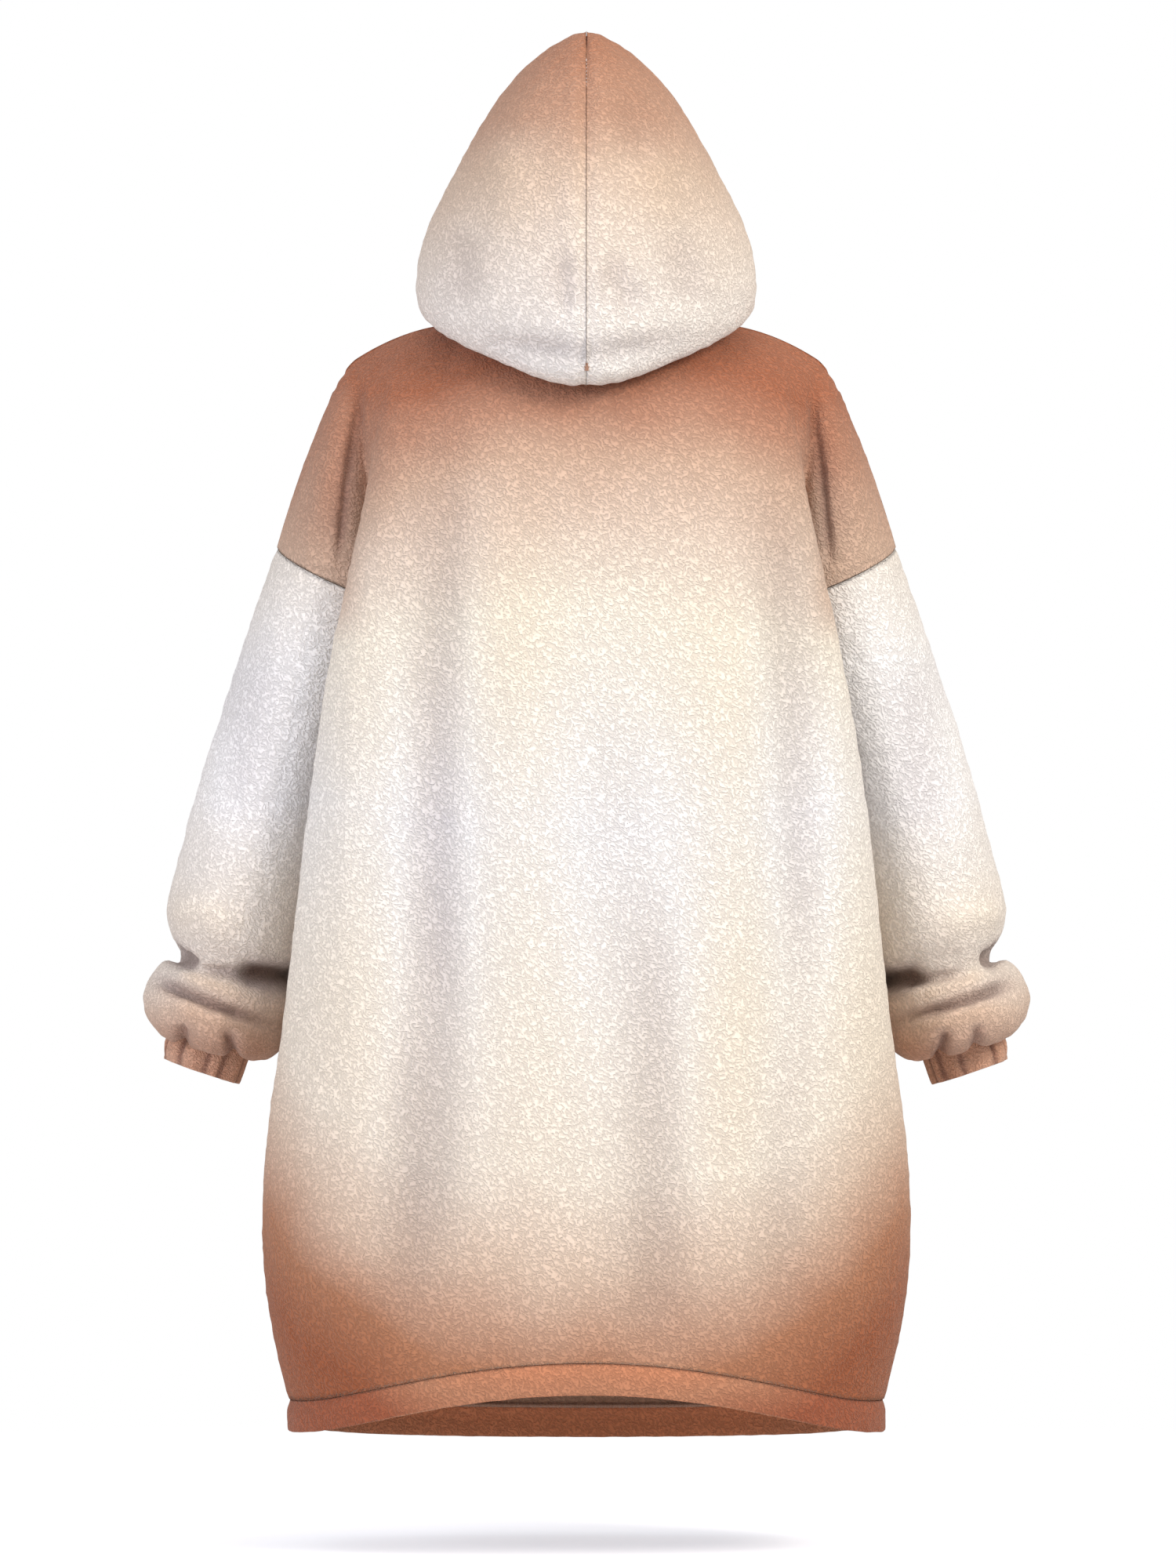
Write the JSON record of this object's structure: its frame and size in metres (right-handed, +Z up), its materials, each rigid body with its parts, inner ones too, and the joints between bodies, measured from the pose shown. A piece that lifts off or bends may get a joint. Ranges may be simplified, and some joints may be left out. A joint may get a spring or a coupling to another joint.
{
  "type": "wearable blanket hoodie, worn and held up by the wearer's shoulders",
  "caption": "Long, loose fleece hoodie with a deep hood, dropped shoulders, full sleeves gathered into cuffs and a hem band, hollow and filled out as worn.",
  "frame": {"origin": "midway between the sides of the neck, on the shoulders, where the wearer holds the garment up", "axes": "+Z up; the garment faces -Y; its left side is +X"},
  "size_m": [0.8, 0.4194, 1.2665],
  "materials": {
    "body_fleece": "deep curled fleece, terracotta at the shoulders fading to cream and back to terracotta at the hem",
    "sleeve_fleece": "deep curled fleece, cream fading to tan at the wrist",
    "cuff_rib": "gathered ribbed knit, terracotta",
    "hood_fleece": "deep curled fleece, terracotta at the crown fading to cream",
    "band_fleece": "curled fleece band, terracotta"
  },
  "bodies": {
    "root": {"body_back": "body_fleece", "body_front": "body_fleece", "sleeve_left": "sleeve_fleece", "sleeve_right": "sleeve_fleece", "cuff_left": "cuff_rib", "cuff_right": "cuff_rib", "hood_left": "hood_fleece", "hood_right": "hood_fleece", "hem_band": "band_fleece"}
  },
  "joints": []
}
